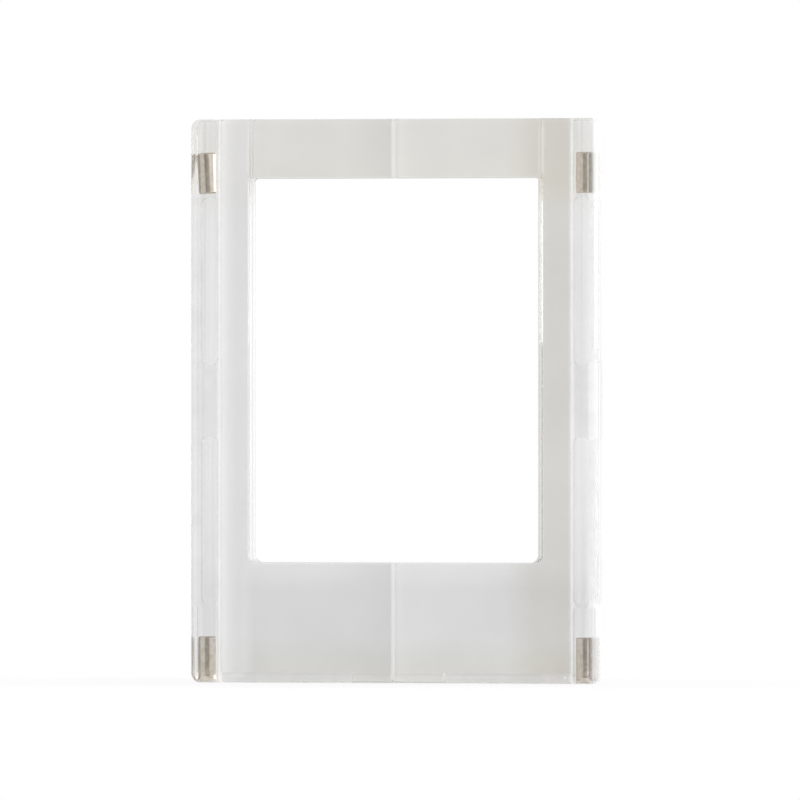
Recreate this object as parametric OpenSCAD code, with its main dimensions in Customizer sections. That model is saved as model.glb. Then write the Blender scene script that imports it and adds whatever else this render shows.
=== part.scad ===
// Magnetic photo frame for one mini instant print, standing upright.
// Two clear half shells meet at the middle plane, hold the print between them
// and trap a loose cylinder magnet in a chamber at each corner.
// Millimetres. X runs to the right, Y to the back, Z up.
// The origin lies under the middle of the base, at the middle plane.

/* [Print] */
// Width of the print that slides in
print_w = 54; // [50:0.5:58]
// Height of the print that slides in
print_h = 86; // [82:0.5:110]
// Space left beside the print on each side
print_side_play = 1.5; // [0.3:0.1:3]
// Gap between the two plates, which the print slides into
pocket_gap = 1.2; // [0.6:0.1:2]
// Height of the floor that the print stands on
pocket_floor = 1.6; // [1:0.1:4]
// Height of the frame above the top edge of the print
print_cover = 2.8; // [0.5:0.1:8]

/* [Window] */
// Width of the window
window_w = 47; // [36:0.5:50]
// Height of the window
window_h = 61.6; // [40:0.2:64]
// Height of the white foot of the print, below the window
print_foot = 17.7; // [10:0.1:20]
// Radius of the two lower corners of the window
window_low_r = 1.4; // [0.6:0.1:3]
// Radius of the two upper corners of the window
window_high_r = 0.6; // [0.6:0.1:3]
// Round on the window's edges, at the front and back faces
window_edge_r = 0.4; // [0.2:0.05:0.6]

/* [Magnets] */
// Diameter of each magnet
magnet_d = 3; // [2.6:0.1:4]
// Length of each magnet
magnet_l = 6.6; // [5:0.1:9]
// How far each magnet can slide up its chamber
magnet_travel = 4.45; // [2:0.05:6]
// Width of the chamber beyond the magnet's own diameter
magnet_play = 0.45; // [0.4:0.05:0.8]
// Gap left below and above the magnet at the ends of its travel
magnet_end_gap = 0.1; // [0.05:0.05:0.3]
// How far the top left magnet leans outward in its chamber, in degrees
magnet_lean = 3; // [0:0.5:3]
// Round on the ends of each magnet
magnet_edge_r = 0.3; // [0.1:0.05:0.4]

/* [Shell walls] */
// Wall between a chamber and the outer side of the frame
side_wall = 0.65; // [0.6:0.05:1.4]
// Wall between a chamber and the print pocket
inner_wall = 0.6; // [0.5:0.05:2]
// Wall in front of and behind the magnets
face_wall = 1.075; // [1:0.025:2]
// Wall between a chamber and the top or the base
end_wall = 0.7; // [0.7:0.05:2]
// Rib between a chamber and the hollow next to it
chamber_rib = 0.5; // [0.4:0.1:2]
// Height of the solid bridge halfway up each rail
bridge_h = 11.5; // [4:0.5:30]
// Width of the long hollows in the rails
hollow_w = 2.5; // [2.2:0.1:2.9]
// Depth of the long hollows, front to back
hollow_t = 2.8; // [1:0.1:3.4]
// Radius of the corners of the hollows
hollow_r = 1; // [0.4:0.1:1.1]
// Gap between the plates at the mouth, above the window
mouth_gap = 3.4; // [1.6:0.1:3.6]
// How far the mouth is wider than the window on each side
mouth_step = 0.1; // [0.05:0.05:1]

/* [Outer form] */
// Radius of the four outer corners, seen from the front
corner_r = 1.4; // [1.3:0.1:1.8]
// Round along the outer edges of both faces
edge_r = 1.2; // [0.4:0.1:1.3]

/* [Details] */
// Width of the notch in the floor of the back shell, to push the print up through
notch_w = 15; // [8:0.1:30]
// Depth of the notch, from the middle plane into the back shell
notch_t = 1.4; // [0.8:0.1:1.8]
// How far the notch reaches above the floor of the pocket
notch_rise = 0.2; // [0.1:0.1:1]
// Distance of the notch to the right of the middle
notch_x = 0.5; // [-8:0.1:8]
// Width of the fine moulding line on the front face
knit_w = 0.24; // [0.1:0.02:0.4]
// Depth of the fine moulding line
knit_depth = 0.06; // [0.02:0.01:0.15]
// Length of plain face left at the ends of the moulding line
knit_end = 1.1; // [0.8:0.1:3]
// Diameter of the round gate mark on the front face
gate_d = 1.5; // [1:0.1:3]
// Depth of the gate mark
gate_depth = 0.08; // [0.02:0.01:0.2]
// Distance of the gate mark to the right of the middle
gate_x = 17.9; // [0:0.1:25]
// Height of the gate mark above the base
gate_z = 4.95; // [3.5:0.05:14]

/* [Hidden] */
$fn = 96;
over = 1;                                     // how far cuts run past a surface, and shapes into each other
chamber_w = magnet_d + magnet_play;           // square chamber around a magnet
lean_room = magnet_d * sin(magnet_lean);      // height that a leaning magnet adds
chamber_l = magnet_l + lean_room + magnet_travel + 2 * magnet_end_gap;
pocket_w = print_w + 2 * print_side_play;
rail_w = side_wall + chamber_w + inner_wall;
frame_w = pocket_w + 2 * rail_w;
frame_h = pocket_floor + print_h + print_cover;
frame_t = chamber_w + 2 * face_wall;
window_z = pocket_floor + print_foot;
window_top = window_z + window_h;
mouth_w = window_w + 2 * mouth_step;
mouth_overlap = window_high_r / 2;            // how far the mouth reaches down into the window
chamber_x = pocket_w / 2 + inner_wall + chamber_w / 2;
hollow_x = pocket_w / 2 + inner_wall + hollow_w / 2;
hollow_low = end_wall + chamber_l + chamber_rib;
hollow_h = frame_h / 2 - bridge_h / 2 - hollow_low;
low_seat = end_wall + magnet_end_gap;         // foot of the lower magnets
high_seat = frame_h - end_wall - chamber_l + magnet_end_gap;

// Flat shape w wide and h high with true arcs at its corners, seen along the third axis.
// The low corners have radius low_r and the high corners high_r, and it starts at y = 0.
module rounded_panel(w, h, low_r, high_r) {
    half_w = w / 2;
    for (side = [-1, 1]) {
        translate([side * (half_w - low_r), low_r]) circle(low_r);
        translate([side * (half_w - high_r), h - high_r]) circle(high_r);
    }
    translate([-half_w, low_r]) square([w, h - low_r - high_r]);
    translate([-half_w + low_r, 0]) square([w - 2 * low_r, low_r + over]);
    translate([-half_w + high_r, h - high_r - over]) square([w - 2 * high_r, high_r + over]);
}

// Stands a flat drawing up, so that its second axis is Z, and gives it a depth along Y.
module stand_up(y_from, y_to) {
    translate([0, y_to, 0]) rotate([90, 0, 0]) linear_extrude(y_to - y_from) children();
}

// Section of the slab from its middle to one edge: reach long, half_t thick, with one round.
module edge_section(reach, half_t, r) {
    square([reach - r, half_t]);
    square([reach, half_t - r]);
    intersection() {
        translate([reach - r, half_t - r]) circle(r);
        square([reach, half_t]);
    }
}

// The section above, on both sides of its middle.
module double_section(reach, half_t, r) {
    edge_section(reach, half_t, r);
    mirror([1, 0]) edge_section(reach, half_t, r);
}

// Front half of the outer form, from the middle plane to the front face.
module half_slab() {
    half_w = frame_w / 2;
    half_t = frame_t / 2;
    mid_h = frame_h / 2;
    // Full width, between the corners
    translate([0, 0, corner_r]) linear_extrude(frame_h - 2 * corner_r)
        mirror([0, 1]) double_section(half_w, half_t, edge_r);
    // Full height, between the corners
    translate([-half_w + corner_r, 0, mid_h]) rotate([0, 90, 0]) linear_extrude(frame_w - 2 * corner_r)
        mirror([0, 1]) double_section(mid_h, half_t, edge_r);
    // A quarter turn of the same section at each corner
    for (side = [0, 1], end = [0, 1])
        mirror([side, 0, 0]) translate([half_w - corner_r, 0, mid_h]) mirror([0, 0, end])
            translate([0, 0, mid_h - corner_r]) rotate([90, 0, 0]) rotate_extrude(angle = 90)
                edge_section(corner_r, half_t, edge_r);
}

// What is left between a round of radius r and its square corner, to cut an edge with.
module lip_section(r) {
    difference() {
        translate([-over, -over]) square(r + over);
        translate([r, r]) circle(r);
    }
}

// Cuts the round along the window's edges into the front face.
module window_lip() {
    r = window_edge_r;
    half_w = window_w / 2;
    low_straight = window_w - 2 * window_low_r;
    high_straight = window_w - 2 * window_high_r;
    side_straight = window_h - window_low_r - window_high_r;
    translate([0, -frame_t / 2, 0]) {
        for (side = [0, 1]) mirror([side, 0, 0]) {
            translate([half_w, 0, window_z + window_low_r]) linear_extrude(side_straight) lip_section(r);
            translate([half_w - window_low_r, 0, window_z + window_low_r]) mirror([0, 0, 1])
                lip_corner(window_low_r, r);
            translate([half_w - window_high_r, 0, window_top - window_high_r])
                lip_corner(window_high_r, r);
        }
        translate([-low_straight / 2, 0, window_z]) rotate([0, 90, 0]) linear_extrude(low_straight)
            lip_section(r);
        translate([-high_straight / 2, 0, window_top]) mirror([0, 0, 1]) rotate([0, 90, 0])
            linear_extrude(high_straight) lip_section(r);
    }
}

// A quarter turn of the lip's section around a window corner of radius corner.
module lip_corner(corner, r) {
    rotate([90, 0, 0]) rotate_extrude(angle = 90) intersection() {
        translate([corner, 0]) mirror([0, 1]) lip_section(r);
        translate([0, -r - over]) square([corner + r, r + 2 * over]);
    }
}

// Space for a magnet, over the full depth of the chamber.
module chamber(side, floor_z) {
    translate([side * chamber_x - chamber_w / 2, -chamber_w / 2, floor_z])
        cube([chamber_w, chamber_w, chamber_l]);
}

// Long hollow that saves plastic in a rail, with round corners.
module hollow(side, floor_z) {
    translate([side * hollow_x, 0, floor_z]) stand_up(-hollow_t / 2, hollow_t / 2)
        rounded_panel(hollow_w, hollow_h, hollow_r, hollow_r);
}

// Everything that both shells leave open.
module inside() {
    // Window, right through
    translate([0, 0, window_z]) stand_up(-frame_t / 2 - over, frame_t / 2 + over)
        rounded_panel(window_w, window_h, window_low_r, window_high_r);
    // Pocket for the print, open at the top
    translate([-pocket_w / 2, -pocket_gap / 2, pocket_floor])
        cube([pocket_w, pocket_gap, frame_h - pocket_floor + over]);
    // Wider mouth between the window sides
    translate([-mouth_w / 2, -mouth_gap / 2, window_top - mouth_overlap])
        cube([mouth_w, mouth_gap, frame_h - window_top + mouth_overlap + over]);
    for (side = [-1, 1]) {
        chamber(side, end_wall);
        chamber(side, frame_h - end_wall - chamber_l);
        hollow(side, hollow_low);
        hollow(side, frame_h - hollow_low - hollow_h);
    }
}

// Half of the frame in front of the middle plane, without its own details.
module half_shell() {
    difference() {
        half_slab();
        inside();
        window_lip();
    }
}

// Fine line where the flow fronts meet, above and below the window.
module knit_line() {
    for (span = [[pocket_floor, window_z - knit_end / 2], [window_top + knit_end, frame_h - edge_r]])
        translate([0, -frame_t / 2, span[0]]) linear_extrude(span[1] - span[0])
            polygon([[-knit_w, -knit_depth], [0, knit_depth], [knit_w, -knit_depth]]);
}

module front_shell() {
    color([0.86, 0.87, 0.86, 0.55]) difference() {
        half_shell();
        knit_line();
        translate([gate_x, gate_depth - frame_t / 2, gate_z]) rotate([90, 0, 0])
            cylinder(h = over, d = gate_d);
    }
}

module back_shell() {
    color([0.84, 0.85, 0.84, 0.55]) difference() {
        mirror([0, 1, 0]) half_shell();
        // Notch through the floor, behind the front shell
        translate([notch_x - notch_w / 2, -over, -over])
            cube([notch_w, notch_t + over, pocket_floor + notch_rise + over]);
    }
}

// Cylinder magnet with rounded ends, standing on z = 0.
module magnet() {
    rotate_extrude() {
        square([magnet_d / 2 - magnet_edge_r, magnet_l]);
        translate([0, magnet_edge_r]) square([magnet_d / 2, magnet_l - 2 * magnet_edge_r]);
        for (end = [magnet_edge_r, magnet_l - magnet_edge_r]) intersection() {
            translate([magnet_d / 2 - magnet_edge_r, end]) circle(magnet_edge_r);
            square([magnet_d, magnet_l]);
        }
    }
}

// Magnet in the chamber on one side, with its foot at seat and its middle in the chamber.
module seated_magnet(side, seat, lean = 0) {
    rise = (magnet_l * cos(lean) + magnet_d * sin(lean)) / 2;
    color([0.78, 0.75, 0.70]) translate([side * chamber_x, 0, seat + rise])
        rotate([0, side * lean, 0]) translate([0, 0, -magnet_l / 2]) magnet();
}

module magnet_top_left() seated_magnet(-1, high_seat, magnet_lean);

module magnet_top_right() seated_magnet(1, high_seat);

module magnet_bottom_left() seated_magnet(-1, low_seat);

module magnet_bottom_right() seated_magnet(1, low_seat);

front_shell();
back_shell();
magnet_top_left();
magnet_top_right();
magnet_bottom_left();
magnet_bottom_right();
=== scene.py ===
# Looks of a clear magnetic photo frame for one mini instant print, standing upright.
import math

import bpy
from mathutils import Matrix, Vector


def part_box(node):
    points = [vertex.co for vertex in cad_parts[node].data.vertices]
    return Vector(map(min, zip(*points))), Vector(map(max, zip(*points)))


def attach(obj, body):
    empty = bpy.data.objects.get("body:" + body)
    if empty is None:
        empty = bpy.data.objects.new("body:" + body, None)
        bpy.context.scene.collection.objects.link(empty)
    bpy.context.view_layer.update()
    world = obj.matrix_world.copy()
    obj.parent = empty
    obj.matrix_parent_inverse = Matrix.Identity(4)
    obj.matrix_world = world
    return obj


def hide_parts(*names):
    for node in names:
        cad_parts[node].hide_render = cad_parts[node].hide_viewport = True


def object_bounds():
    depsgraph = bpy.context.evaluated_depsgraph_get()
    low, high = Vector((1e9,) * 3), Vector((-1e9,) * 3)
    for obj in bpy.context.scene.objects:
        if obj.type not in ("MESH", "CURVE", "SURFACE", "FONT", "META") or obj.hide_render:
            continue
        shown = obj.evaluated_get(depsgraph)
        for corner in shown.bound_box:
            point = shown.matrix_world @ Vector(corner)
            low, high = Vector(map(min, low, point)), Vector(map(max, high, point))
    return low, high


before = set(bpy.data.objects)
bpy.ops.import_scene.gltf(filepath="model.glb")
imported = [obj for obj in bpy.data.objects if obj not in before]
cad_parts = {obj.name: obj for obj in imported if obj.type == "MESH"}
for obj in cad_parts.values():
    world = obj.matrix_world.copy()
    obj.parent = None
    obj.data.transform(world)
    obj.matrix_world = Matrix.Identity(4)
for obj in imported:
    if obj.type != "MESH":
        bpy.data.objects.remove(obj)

MM = 0.001
CAD_LOW, CAD_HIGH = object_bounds()
HALF_WIDTH = round(CAD_HIGH.x / MM, 1)     # mm from the middle of the frame to its sides
FRAME_HEIGHT = round(CAD_HIGH.z / MM, 1)   # mm

# The photograph's framing, in its own pixels
IMAGE_PX = 800
FRAME_TOP_PX = 118.9
FRAME_BASE_PX = 682.9
FRAME_MIDDLE_PX = 396.4
# The photograph's viewpoint: level with the frame, a little to its right, far away
CAMERA_AZIMUTH = math.radians(10.7)
CAMERA_DISTANCE = 2.0
SENSOR_WIDTH = 0.036

# The floor's edges, in metres from the middle of the frame
FLOOR_REACH = 0.45
FLOOR_FRONT = 0.055

WELD_GAP = 0.002 * MM          # room kept between the bonded faces, on each side of the weld plane
WALL_TILT = 0.2                # the most that the normal of an inner wall points forward or back
OUTER_SKIN = 0.5               # mm; a wall nearer to the outline than this is not an inner one
POLYSTYRENE_IOR = 1.59
LINE_LEAN = 0.134              # how far the plastic's painted bright lines run to the left for each mm of depth
FOLLOWED_MIRRORINGS = 3        # light that is mirrored more often inside the plastic is let out
LEFT_LIMIT = math.radians(13)  # how far the magnets' mirror turns to either side
RIGHT_LIMIT = math.radians(23)

# The Mix node's colour sockets, which have numbers of their own: two inputs and the output
FIRST, SECOND, MIXED = 6, 7, 2


def linear(hex_colour):
    """sRGB hex such as '#f2f0eb' as linear red, green, blue, alpha."""
    channels = [int(hex_colour[i:i + 2], 16) / 255 for i in (1, 3, 5)]
    return (*(c / 12.92 if c <= 0.04045 else ((c + 0.055) / 1.055) ** 2.4 for c in channels), 1.0)


WHITE = linear("#ffffff")


def add(tree, kind, inputs=None, stops=(), **settings):
    """Adds a shader node, sets its properties, and fills or links its inputs, which go by name, or by number
    where several have one name. A colour ramp has stops, each a place from 0 to 1 and a hex colour."""
    node = tree.nodes.new(kind)
    for key, value in settings.items():
        setattr(node, key, value)
    for key, value in (inputs or {}).items():
        if isinstance(value, bpy.types.NodeSocket):
            tree.links.new(value, node.inputs[key])
        else:
            node.inputs[key].default_value = value
    if stops:
        elements = node.color_ramp.elements
        while len(elements) < len(stops):
            elements.new(0.5)
        for element, (place, hex_colour) in zip(elements, stops):
            element.position = place
            element.color = linear(hex_colour)
    return node


def new_material(name):
    """An empty node material and its tree."""
    material = bpy.data.materials.new(name)
    material.use_nodes = True
    material.node_tree.nodes.clear()
    return material, material.node_tree


def across_frame(tree, place, stops):
    """A colour that changes from side to side, through stops in mm from the middle and hex colours."""
    axes = add(tree, "ShaderNodeSeparateXYZ", {"Vector": place})
    part = add(tree, "ShaderNodeMapRange", {
        "Value": axes.outputs["X"], "From Min": -HALF_WIDTH * MM, "From Max": HALF_WIDTH * MM})
    shares = [((x + HALF_WIDTH) / (2 * HALF_WIDTH), hex_colour) for x, hex_colour in stops]
    return add(tree, "ShaderNodeValToRGB", {"Fac": part.outputs["Result"]}, stops=shares).outputs["Color"]


def up_frame(tree, place, stops):
    """A colour that changes with height, through stops in mm from the floor and hex colours."""
    axes = add(tree, "ShaderNodeSeparateXYZ", {"Vector": place})
    part = add(tree, "ShaderNodeMapRange", {
        "Value": axes.outputs["Z"], "From Min": 0.0, "From Max": FRAME_HEIGHT * MM})
    shares = [(z / FRAME_HEIGHT, hex_colour) for z, hex_colour in stops]
    return add(tree, "ShaderNodeValToRGB", {"Fac": part.outputs["Result"]}, stops=shares).outputs["Color"]


def layered(tree, lowest, *tints):
    """The product of several colours, as when clear tints lie one over the other."""
    for tint in tints:
        layers = add(tree, "ShaderNodeMix", {"Factor": 1.0, FIRST: lowest, SECOND: tint},
                     data_type="RGBA", blend_type="MULTIPLY")
        lowest = layers.outputs[MIXED]
    return lowest


def long_trapped(tree):
    """1 for light that has been mirrored inside the plastic so often that the renderer would drop it and
    leave a black patch: it is let out instead, as it would be in the real frame a little further on."""
    path = add(tree, "ShaderNodeLightPath")
    return add(tree, "ShaderNodeMath", {0: path.outputs["Glossy Depth"], 1: FOLLOWED_MIRRORINGS + 0.5},
               operation="GREATER_THAN").outputs[0]


def flow_lines(tree, place):
    """Streaks that the melt leaves along its way, 0.8 mm apart and some 90 mm long, from 0 to 1."""
    stretched = add(tree, "ShaderNodeMapping", {
        "Vector": place, "Scale": (1 / (0.8 * MM), 1 / (9 * MM), 1 / (90 * MM))})
    return add(tree, "ShaderNodeTexNoise", {
        "Vector": stretched.outputs["Vector"], "Scale": 1.0, "Detail": 2.0}).outputs["Fac"]


def plastic_tint_and_painted_light(tree, place, flow):
    """The grey that light picks up in the plastic, with painted light on the rails and the right side, and
    painted shade beside the knit line and at the left edge.
    """
    # Depth of grey from side to side. It is painted paler along the rails, for the light that comes out of
    # the thick sides, and has painted shade left of the middle and painted light right of it, where the two
    # flow fronts meet
    grey = across_frame(tree, place, [
        (-HALF_WIDTH, "#fcfcfc"), (-28.8, "#fcfcfc"), (-28.3, "#ffffff"), (-27.4, "#f9f9f9"),
        (-26, "#f5f5f5"), (-20, "#f7f7f7"), (-8, "#f6f6f6"), (-3.5, "#f4f4f4"), (-0.8, "#f3f3f3"),
        (-0.2, "#f5f5f5"), (0.25, "#fbfbfb"), (2.5, "#f9f9f9"), (7, "#f8f8f8"), (18, "#f7f7f7"),
        (23, "#f1f0ee"), (28.2, "#f0efed"), (28.8, "#fbfbfb"), (31, "#fcfcfc"), (31.4, "#ffffff"),
        (HALF_WIDTH, "#ffffff")])
    # A little darker below the window, and faintly warm above it
    height = up_frame(tree, place, [
        (0, "#f8f7f4"), (4, "#f8f8f6"), (7, "#fafafa"), (15, "#fafafa"), (19, "#ffffff"), (75, "#ffffff"),
        (80, "#fdfcf9"), (FRAME_HEIGHT, "#fdfcfa")])
    # The column between the window and the left rail takes little of that change with height
    left_column = across_frame(tree, place, [
        (-28.8, "#000000"), (-28.2, "#d8d8d8"), (-24.6, "#d8d8d8"), (-23, "#000000")])
    evened = add(tree, "ShaderNodeMix", {"Factor": left_column, FIRST: height, SECOND: WHITE},
                 data_type="RGBA")
    # Soft clouds about 14 mm across, from uneven cooling
    clouds = add(tree, "ShaderNodeTexNoise", {
        "Vector": place, "Scale": 1 / (14 * MM), "Detail": 2.0, "Roughness": 0.45})
    uneven = add(tree, "ShaderNodeValToRGB", {"Fac": clouds.outputs["Fac"]},
                 stops=[(0.3, "#fbfbfb"), (0.7, "#ffffff")])
    # The flow lines show only along the rails
    streaks = add(tree, "ShaderNodeValToRGB", {"Fac": flow},
                  stops=[(0.35, "#f6f6f6"), (0.5, "#fdfdfd"), (0.62, "#ffffff")])
    in_rails = across_frame(tree, place, [
        (-HALF_WIDTH, "#ffffff"), (-28.8, "#ffffff"), (-28.4, "#000000"), (28.4, "#000000"),
        (28.8, "#ffffff"), (HALF_WIDTH, "#ffffff")])
    streaked = add(tree, "ShaderNodeMix", {
        "Factor": in_rails, FIRST: WHITE, SECOND: streaks.outputs["Color"]}, data_type="RGBA")
    tint = layered(tree, grey, evened.outputs[MIXED], uneven.outputs["Color"], streaked.outputs[MIXED])
    # The right side's outer wall catches the lamp and shows no grey
    lit_side = across_frame(tree, place, [(31.3, "#000000"), (31.9, "#ffffff"), (HALF_WIDTH, "#ffffff")])
    paled = add(tree, "ShaderNodeMix", {"Factor": lit_side, FIRST: tint, SECOND: WHITE}, data_type="RGBA")
    # The left edge's round is dark, as the light leaves it sideways
    axes = add(tree, "ShaderNodeSeparateXYZ", {"Vector": place})
    depth = add(tree, "ShaderNodeMath", {0: axes.outputs["Y"]}, operation="ABSOLUTE")
    rounded = add(tree, "ShaderNodeMapRange", {
        "Value": depth.outputs[0], "From Min": 1.65 * MM, "From Max": 1.8 * MM})
    edge = across_frame(tree, place, [(-HALF_WIDTH, "#ffffff"), (-33.08, "#ffffff"), (-32.98, "#000000")])
    outline = add(tree, "ShaderNodeMath", {0: edge, 1: rounded.outputs["Result"]}, operation="MULTIPLY")
    drawn = add(tree, "ShaderNodeMix", {
        "Factor": outline.outputs[0], FIRST: paled.outputs[MIXED], SECOND: linear("#606060")},
        data_type="RGBA")
    return drawn.outputs[MIXED]


def unscattered(tree, place, flow):
    """The share of light that goes straight through: all of it, but for a haze of hairline scratches on the
    right side's outer wall, thickest beside the magnets."""
    scratches = add(tree, "ShaderNodeMapRange", {
        "Value": flow, "From Min": 0.35, "From Max": 0.65, "To Min": 0.418, "To Max": 0.76})
    ends = up_frame(tree, place, [
        (0, "#ffffff"), (12.5, "#ffffff"), (13.5, "#bcbcbc"), (77, "#bcbcbc"), (78, "#ffffff"),
        (FRAME_HEIGHT, "#ffffff")])
    outer = across_frame(tree, place, [(32.0, "#000000"), (32.5, "#ffffff"), (HALF_WIDTH, "#ffffff")])
    haze = add(tree, "ShaderNodeMath", {0: layered(tree, outer, ends), 1: scratches.outputs["Result"]},
               operation="MULTIPLY")
    return add(tree, "ShaderNodeMath", {0: 1.0, 1: haze.outputs[0]}, operation="SUBTRACT").outputs[0]


def painted_bright_lines(tree, place):
    """The share of the plastic that shows a painted bright line or glint, where it lets the white backdrop
    straight through; the lines lean through both shells.
    """
    lean = add(tree, "ShaderNodeVectorMath", {0: place, 1: (0.0, LINE_LEAN, 0.0)}, operation="DOT_PRODUCT")
    leaning = add(tree, "ShaderNodeCombineXYZ", {"X": lean.outputs["Value"]})
    slanted = add(tree, "ShaderNodeVectorMath", {0: place, 1: leaning.outputs["Vector"]},
                  operation="ADD").outputs["Vector"]
    # Painted highlights where the two flow fronts met, and at the sides of the mouth
    knit = across_frame(tree, slanted, [
        (-0.6, "#000000"), (-0.5, "#dcdcdc"), (-0.32, "#dcdcdc"), (-0.2, "#000000")])
    rims = across_frame(tree, slanted, [
        (-24.4, "#000000"), (-24.1, "#7c7c7c"), (-23.9, "#7c7c7c"), (-23.5, "#000000"), (23.1, "#000000"),
        (23.2, "#8c8c8c"), (23.35, "#8c8c8c"), (23.45, "#000000"), (23.8, "#000000"), (23.9, "#d8d8d8"),
        (24.05, "#d8d8d8"), (24.15, "#000000")])
    above = up_frame(tree, place, [
        (81.3, "#000000"), (81.8, "#ffffff"), (89, "#ffffff"), (89.6, "#000000")])
    lines = add(tree, "ShaderNodeMath", {0: knit, 1: layered(tree, rims, above)}, operation="MAXIMUM")
    # Painted glints along the base: the corners of the notch, a nick at the right, and two soft streaks.
    # Each has its place across and up, its half width and half height, all in mm, and its strength
    for x, z, half_width, half_height, strength in (
            (-6.9, 1.5, 0.3, 0.3, 1.0), (8.1, 1.4, 0.3, 0.3, 1.0), (27.5, 0.95, 0.3, 0.35, 1.0),
            (13.8, 1.05, 6.2, 0.16, 0.4), (-25.9, 1.25, 1.8, 0.35, 0.4)):
        offset = add(tree, "ShaderNodeVectorMath", {0: slanted, 1: (x * MM, 0.0, z * MM)},
                     operation="SUBTRACT")
        scaled = add(tree, "ShaderNodeVectorMath", {
            0: offset.outputs["Vector"], 1: (1 / (half_width * MM), 0.0, 1 / (half_height * MM))},
            operation="MULTIPLY")
        length = add(tree, "ShaderNodeVectorMath", {0: scaled.outputs["Vector"]}, operation="LENGTH")
        glint = add(tree, "ShaderNodeMapRange", {
            "Value": length.outputs["Value"], "From Min": 0.5, "From Max": 1.0, "To Min": strength,
            "To Max": 0.0})
        lines = add(tree, "ShaderNodeMath", {0: lines.outputs[0], 1: glint.outputs["Result"]},
                    operation="MAXIMUM")
    return lines.outputs[0]


def moulded_clear_polystyrene():
    """Crystal polystyrene, injection moulded: water clear and glossy, faintly grey where two plates lie
    one behind the other, streaked along the rails and painted paler there for the light that comes out of
    the thick sides, with painted bright lines and glints."""
    material, tree = new_material("moulded_clear_polystyrene")
    place = add(tree, "ShaderNodeTexCoord").outputs["Object"]
    flow = flow_lines(tree, place)
    glossy = add(tree, "ShaderNodeBsdfPrincipled", {
        "Base Color": plastic_tint_and_painted_light(tree, place, flow), "Roughness": 0.0, "IOR": POLYSTYRENE_IOR,
        "Transmission Weight": unscattered(tree, place, flow)})
    # Light mirrored many times has come a long way through the plastic, and leaves it dimmed
    trapped = long_trapped(tree)
    # The bright lines are painted highlights: there the plastic lets the white backdrop straight through, as
    # does the let-out light
    painted_lines_and_let_out = add(tree, "ShaderNodeMath", {0: painted_bright_lines(tree, place), 1: trapped}, operation="MAXIMUM")
    dimmed = add(tree, "ShaderNodeMix", {"Factor": trapped, FIRST: WHITE, SECOND: linear("#e0e0e0")},
                 data_type="RGBA")
    clear = add(tree, "ShaderNodeBsdfTransparent", {"Color": dimmed.outputs[MIXED]})
    mixed = add(tree, "ShaderNodeMixShader", {
        "Fac": painted_lines_and_let_out.outputs[0], 1: glossy.outputs[0], 2: clear.outputs[0]})
    add(tree, "ShaderNodeOutputMaterial", {"Surface": mixed.outputs[0]})
    return material


def solvent_weld():
    """The bonded faces between the shells: the weld is clear, so light crosses it as if the plastic were
    one piece, but for a few faint patches where the bond is thin."""
    material, tree = new_material("solvent_weld")
    place = add(tree, "ShaderNodeTexCoord").outputs["Object"]
    patches = add(tree, "ShaderNodeTexNoise", {"Vector": place, "Scale": 1 / (3 * MM), "Detail": 2.0})
    clear = add(tree, "ShaderNodeValToRGB", {"Fac": patches.outputs["Fac"]},
                stops=[(0.3, "#fcfcfc"), (0.6, "#ffffff")])
    # Greyer across the wide bonds, clear along the narrow ones beside the pocket and at the right side
    width = across_frame(tree, place, [
        (-HALF_WIDTH, "#f8f8f8"), (-29.2, "#f7f7f7"), (-28.9, "#ffffff"), (-28.5, "#ffffff"),
        (-28.2, "#f3f3f3"), (28.2, "#f3f3f3"), (28.5, "#ffffff"), (28.9, "#ffffff"), (29.2, "#f6f6f6"),
        (31.2, "#f6f6f6"), (31.6, "#ffffff"), (HALF_WIDTH, "#ffffff")])
    bond = add(tree, "ShaderNodeBsdfTransparent", {"Color": layered(tree, clear.outputs["Color"], width)})
    add(tree, "ShaderNodeOutputMaterial", {"Surface": bond.outputs[0]})
    return material


def fine_ground_wall():
    """The walls inside the clear moulding, satin from a fine-ground mould. The upright ones let most light
    pass, with a glint that comes and goes, and the window's left one scatters about half and shows pale."""
    material, tree = new_material("fine_ground_wall")
    place = add(tree, "ShaderNodeTexCoord").outputs["Object"]
    waves = add(tree, "ShaderNodeTexNoise", {"Vector": place, "Scale": 1 / (5 * MM), "Detail": 1.0})
    tint = add(tree, "ShaderNodeValToRGB", {"Fac": waves.outputs["Fac"]},
               stops=[(0.3, "#f8f8f8"), (0.7, "#fefefe")])
    glint = add(tree, "ShaderNodeMapRange", {
        "Value": waves.outputs["Fac"], "From Min": 0.3, "From Max": 0.7, "To Min": 0.12, "To Max": 0.32})
    clear = add(tree, "ShaderNodeBsdfTransparent", {"Color": tint.outputs["Color"]})
    glossy = add(tree, "ShaderNodeBsdfPrincipled", {
        "Base Color": tint.outputs["Color"], "Roughness": 0.0, "IOR": POLYSTYRENE_IOR,
        "Transmission Weight": 1.0})
    # The level walls between the window's sides are much glossier, nearly as the outside
    level = across_frame(tree, place, [
        (-23.3, "#000000"), (-22.8, "#e0e0e0"), (22.8, "#e0e0e0"), (23.3, "#000000")])
    gloss = add(tree, "ShaderNodeMath", {0: glint.outputs["Result"], 1: level}, operation="MAXIMUM")
    freed = add(tree, "ShaderNodeMath", {0: 1.0, 1: long_trapped(tree)}, operation="SUBTRACT")
    mirror = add(tree, "ShaderNodeMath", {0: gloss.outputs[0], 1: freed.outputs[0]}, operation="MULTIPLY")
    smooth = add(tree, "ShaderNodeMixShader", {
        "Fac": mirror.outputs[0], 1: clear.outputs[0], 2: glossy.outputs[0]})
    satin = across_frame(tree, place, [
        (-24.5, "#000000"), (-23.9, "#b4b4b4"), (-23.3, "#b4b4b4"), (-23.0, "#000000")])
    pale = add(tree, "ShaderNodeBsdfDiffuse", {"Color": WHITE})
    mixed = add(tree, "ShaderNodeMixShader", {"Fac": satin, 1: smooth.outputs[0], 2: pale.outputs[0]})
    add(tree, "ShaderNodeOutputMaterial", {"Surface": mixed.outputs[0]})
    return material


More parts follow.
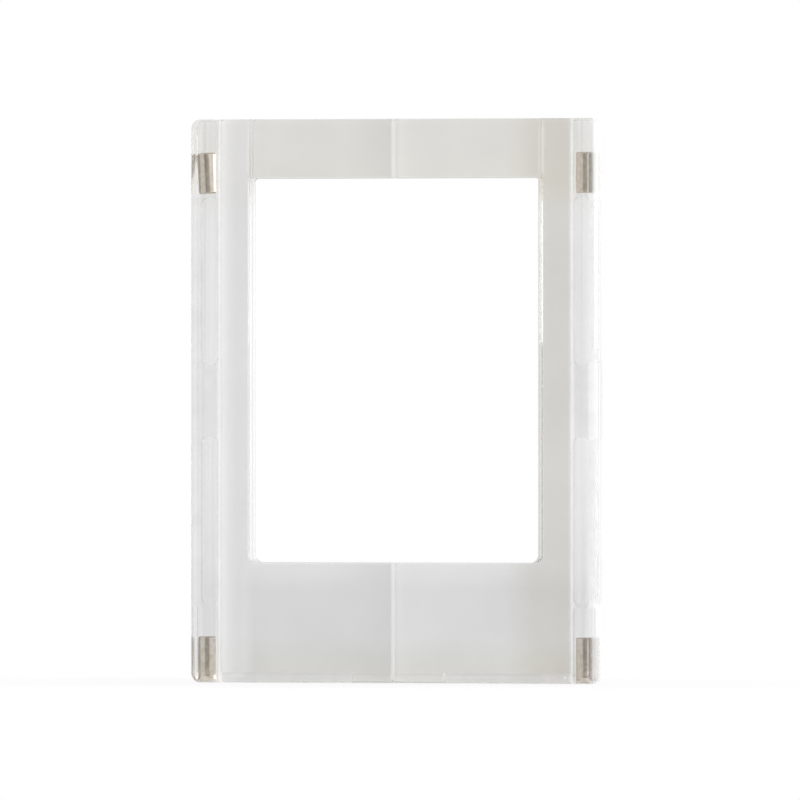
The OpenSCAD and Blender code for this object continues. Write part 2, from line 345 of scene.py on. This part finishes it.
def nickel_plated_magnet():
    """Sintered neodymium with a bright nickel plate, tumbled: a warm mirror, slightly soft. It is paler than
    bare nickel, to make up for the light that the plastic around it swallows."""
    material, tree = new_material("nickel_plated_magnet")
    place = add(tree, "ShaderNodeTexCoord").outputs["Object"]
    # Tumbling dulls the plate in patches of about 0.8 mm
    patches = add(tree, "ShaderNodeTexNoise", {"Vector": place, "Scale": 1 / (0.8 * MM), "Detail": 3.0})
    plate = add(tree, "ShaderNodeValToRGB", {"Fac": patches.outputs["Fac"]},
                stops=[(0.35, "#ebdfd2"), (0.65, "#f7f0e6")])
    softness = add(tree, "ShaderNodeMapRange", {
        "Value": patches.outputs["Fac"], "From Min": 0.3, "From Max": 0.7, "To Min": 0.08, "To Max": 0.15})
    metal = add(tree, "ShaderNodeBsdfPrincipled", {
        "Base Color": plate.outputs["Color"], "Metallic": 0.85, "Roughness": softness.outputs["Result"]})
    add(tree, "ShaderNodeOutputMaterial", {"Surface": metal.outputs["BSDF"]})
    return material


def matt_white_paint():
    """The paint of a white table, matt. The camera sees its soft shadow near the frame, and plain white
    beyond."""
    material, tree = new_material("matt_white_paint")
    place = add(tree, "ShaderNodeTexCoord").outputs["Object"]
    grain = add(tree, "ShaderNodeTexNoise", {"Vector": place, "Scale": 1 / (30 * MM)})
    paint = add(tree, "ShaderNodeValToRGB", {"Fac": grain.outputs["Fac"]},
                stops=[(0.3, "#f6f6f6"), (0.7, "#f8f8f8")])
    matt = add(tree, "ShaderNodeBsdfDiffuse", {"Color": paint.outputs["Color"]})
    white = add(tree, "ShaderNodeEmission", {"Color": WHITE, "Strength": 1.0})
    # White share: most of it at the frame, and all of it from 0.12 m to the side, or 2.2 times nearer in
    # front and behind
    stretched = add(tree, "ShaderNodeVectorMath", {0: place, 1: (1.0, 2.2, 1.0)}, operation="MULTIPLY")
    away = add(tree, "ShaderNodeVectorMath", {0: stretched.outputs["Vector"]}, operation="LENGTH")
    share = add(tree, "ShaderNodeMapRange", {
        "Value": away.outputs["Value"], "From Min": 0.04, "From Max": 0.12, "To Min": 0.86, "To Max": 1.0},
        interpolation_type="SMOOTHSTEP")
    part = add(tree, "ShaderNodeMath", {0: seen_as_backdrop(tree), 1: share.outputs["Result"]},
               operation="MULTIPLY")
    mixed = add(tree, "ShaderNodeMixShader", {
        "Fac": part.outputs[0], 1: matt.outputs[0], 2: white.outputs[0]})
    add(tree, "ShaderNodeOutputMaterial", {"Surface": mixed.outputs[0]})
    return material


def seen_as_backdrop(tree):
    """1 for rays that show the table: from the camera, off something glossy or through the plastic."""
    path = add(tree, "ShaderNodeLightPath")
    first = add(tree, "ShaderNodeMath", {
        0: path.outputs["Is Camera Ray"], 1: path.outputs["Is Glossy Ray"]}, operation="MAXIMUM")
    both = add(tree, "ShaderNodeMath", {0: first.outputs[0], 1: path.outputs["Is Transmission Ray"]},
               operation="MAXIMUM")
    return both.outputs[0]


def studio_world():
    """Plain soft light from a pale room. The camera sees white, and so does what passes straight through
    the plastic. The faces and magnets mirror the room, and this draws their edges: white behind and at
    the right, a little greyer at the left, and grey in front and above."""
    world = bpy.data.worlds.new("studio")
    world.use_nodes = True
    tree = world.node_tree
    tree.nodes.clear()
    direction = add(tree, "ShaderNodeTexCoord").outputs["Generated"]
    axes = add(tree, "ShaderNodeSeparateXYZ", {"Vector": direction})
    # Bearing of the direction: 0 straight to the front, positive to the right, half a turn each way
    to_front = add(tree, "ShaderNodeMath", {0: axes.outputs["Y"], 1: -1.0}, operation="MULTIPLY")
    bearing = add(tree, "ShaderNodeMath", {0: axes.outputs["X"], 1: to_front.outputs[0]},
                  operation="ARCTAN2")
    turn = add(tree, "ShaderNodeMapRange", {
        "Value": bearing.outputs[0], "From Min": -math.pi, "From Max": math.pi})
    walls = add(tree, "ShaderNodeValToRGB", {"Fac": turn.outputs["Result"]}, stops=[
        ((degrees + 180) / 360, hex_colour) for degrees, hex_colour in (
            (-180, "#ffffff"), (-120, "#ffffff"), (-110, "#ececec"), (-24, "#ececec"), (-15, "#a0a0a0"),
            (21, "#a0a0a0"), (27, "#ffffff"), (180, "#ffffff"))])
    ceiling = add(tree, "ShaderNodeMapRange", {
        "Value": axes.outputs["Z"], "From Min": 0.35, "From Max": 0.85})
    room = add(tree, "ShaderNodeMix", {
        "Factor": ceiling.outputs["Result"], FIRST: walls.outputs["Color"], SECOND: linear("#d8d8d8")},
        data_type="RGBA")
    # A count of mirrorings below 0.5 is none
    path = add(tree, "ShaderNodeLightPath")
    unmirrored = add(tree, "ShaderNodeMath", {0: path.outputs["Glossy Depth"], 1: 0.5},
                     operation="LESS_THAN")
    straight = add(tree, "ShaderNodeMath", {
        0: path.outputs["Is Transmission Ray"], 1: unmirrored.outputs[0]}, operation="MULTIPLY")
    backdrop = add(tree, "ShaderNodeMath", {
        0: path.outputs["Is Camera Ray"], 1: straight.outputs[0]}, operation="MAXIMUM")
    seen = add(tree, "ShaderNodeMix", {
        "Factor": backdrop.outputs[0], FIRST: room.outputs[MIXED], SECOND: WHITE}, data_type="RGBA")
    light = add(tree, "ShaderNodeBackground", {"Color": seen.outputs[MIXED], "Strength": 1.0})
    add(tree, "ShaderNodeOutputWorld", {"Surface": light.outputs[0]})
    bpy.context.scene.world = world


def soft_lamp(name, place, aim, width, height, radiance):
    """A rectangular area lamp at place, turned towards aim. A radiance of 1 shows as white."""
    data = bpy.data.lights.new(name, "AREA")
    data.shape = "RECTANGLE"
    data.size = width
    data.size_y = height
    data.energy = math.pi * width * height * radiance
    lamp = bpy.data.objects.new(name, data)
    lamp.location = place
    lamp.rotation_euler = (Vector(aim) - Vector(place)).to_track_quat("-Z", "Y").to_euler()
    bpy.context.scene.collection.objects.link(lamp)


def photo_camera():
    """The photograph's camera: a long lens, level with the frame and a little to its right."""
    data = bpy.data.cameras.new("camera")
    data.sensor_width = SENSOR_WIDTH / MM
    frame_px = FRAME_BASE_PX - FRAME_TOP_PX
    metres_per_px = (CAD_HIGH.z - CAD_LOW.z) / frame_px
    data.lens = data.sensor_width * CAMERA_DISTANCE / (IMAGE_PX * metres_per_px)
    right = Vector((math.cos(CAMERA_AZIMUTH), math.sin(CAMERA_AZIMUTH), 0))
    back = Vector((math.sin(CAMERA_AZIMUTH), -math.cos(CAMERA_AZIMUTH), 0))
    middle = (CAD_LOW + CAD_HIGH) / 2
    across = (IMAGE_PX / 2 - FRAME_MIDDLE_PX) * metres_per_px
    up = ((FRAME_TOP_PX + FRAME_BASE_PX) / 2 - IMAGE_PX / 2) * metres_per_px
    target = middle + right * across + Vector((0, 0, up))
    camera = bpy.data.objects.new("camera", data)
    camera.location = target + back * CAMERA_DISTANCE
    camera.rotation_euler = (-back).to_track_quat("-Z", "Y").to_euler()
    bpy.context.scene.collection.objects.link(camera)
    bpy.context.scene.camera = camera


def table_top():
    """The floor that the frame stands on."""
    corners = [(-FLOOR_REACH, -FLOOR_FRONT, 0), (FLOOR_REACH, -FLOOR_FRONT, 0),
               (FLOOR_REACH, FLOOR_REACH, 0), (-FLOOR_REACH, FLOOR_REACH, 0)]
    mesh = bpy.data.meshes.new("floor")
    mesh.from_pydata(corners, [], [(0, 1, 2, 3)])
    mesh.materials.append(matt_white_paint())
    floor = bpy.data.objects.new("floor", mesh)
    bpy.context.scene.collection.objects.link(floor)


def inner_wall(face):
    """Whether the face is a wall of the window, the pocket or a hollow, which runs from front to back."""
    middle = face.center / MM
    return (abs(face.normal.y) < WALL_TILT and abs(middle.x) < HALF_WIDTH - OUTER_SKIN
            and OUTER_SKIN < middle.z < FRAME_HEIGHT - OUTER_SKIN)


def moulded_shell(node, name, plastic, weld, wall):
    """The shell as moulded: the CAD shape, with its weld faces bonded to the other shell's."""
    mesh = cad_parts[node].data.copy()
    away = -1 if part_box(node)[0].y < -WELD_GAP else 1
    near = [abs(vertex.co.y) < WELD_GAP for vertex in mesh.vertices]
    finishes = [plastic, weld, wall]
    mesh.materials.clear()
    for finish in finishes:
        mesh.materials.append(finish)
    for face in mesh.polygons:
        bonded = all(near[corner] for corner in face.vertices)
        finish = weld if bonded else wall if inner_wall(face) else plastic
        face.material_index = finishes.index(finish)
    for vertex in mesh.vertices:
        if near[vertex.index]:
            vertex.co.y = away * WELD_GAP
    shell = bpy.data.objects.new(name, mesh)
    bpy.context.scene.collection.objects.link(shell)
    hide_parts(node)
    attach(shell, "frame")


def plated_magnet(node, plate):
    """A magnet as plated: the CAD shape. The plate reflects as if its sides were a little flattened, so that
    it shows the room and not the dark inside of its own chamber."""
    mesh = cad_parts[node].data.copy()
    mesh.materials.clear()
    mesh.materials.append(plate)
    normals = []
    for corner in mesh.corner_normals:
        normal = corner.vector.copy()
        level = math.hypot(normal.x, normal.y)
        on_the_side = level > 0.5
        if on_the_side:
            front = math.copysign(1, -normal.y)
            turn = math.atan2(normal.x, abs(normal.y))
            limit = RIGHT_LIMIT if turn > 0 else LEFT_LIMIT
            turn = limit * math.tanh(turn / limit)
            normal.x = level * math.sin(turn)
            normal.y = -front * level * math.cos(turn)
        normals.append(normal)
    mesh.normals_split_custom_set(normals)
    magnet = bpy.data.objects.new(node + "_plated", mesh)
    bpy.context.scene.collection.objects.link(magnet)
    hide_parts(node)
    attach(magnet, node)


bpy.context.scene.view_settings.view_transform = "Standard"
photo_camera()
studio_world()
table_top()
soft_lamp("key_lamp", place=(1.2, -0.1, 0.55), aim=(0, -0.1, 0.3), width=1.9, height=1.0, radiance=1.8)

clear_plastic = moulded_clear_polystyrene()
bonded_face = solvent_weld()
wall_finish = fine_ground_wall()
moulded_shell("front_shell", "front_shell_clear", clear_plastic, bonded_face, wall_finish)
moulded_shell("back_shell", "back_shell_clear", clear_plastic, bonded_face, wall_finish)

nickel = nickel_plated_magnet()
for corner_name in ("top_left", "top_right", "bottom_left", "bottom_right"):
    plated_magnet("magnet_" + corner_name, nickel)
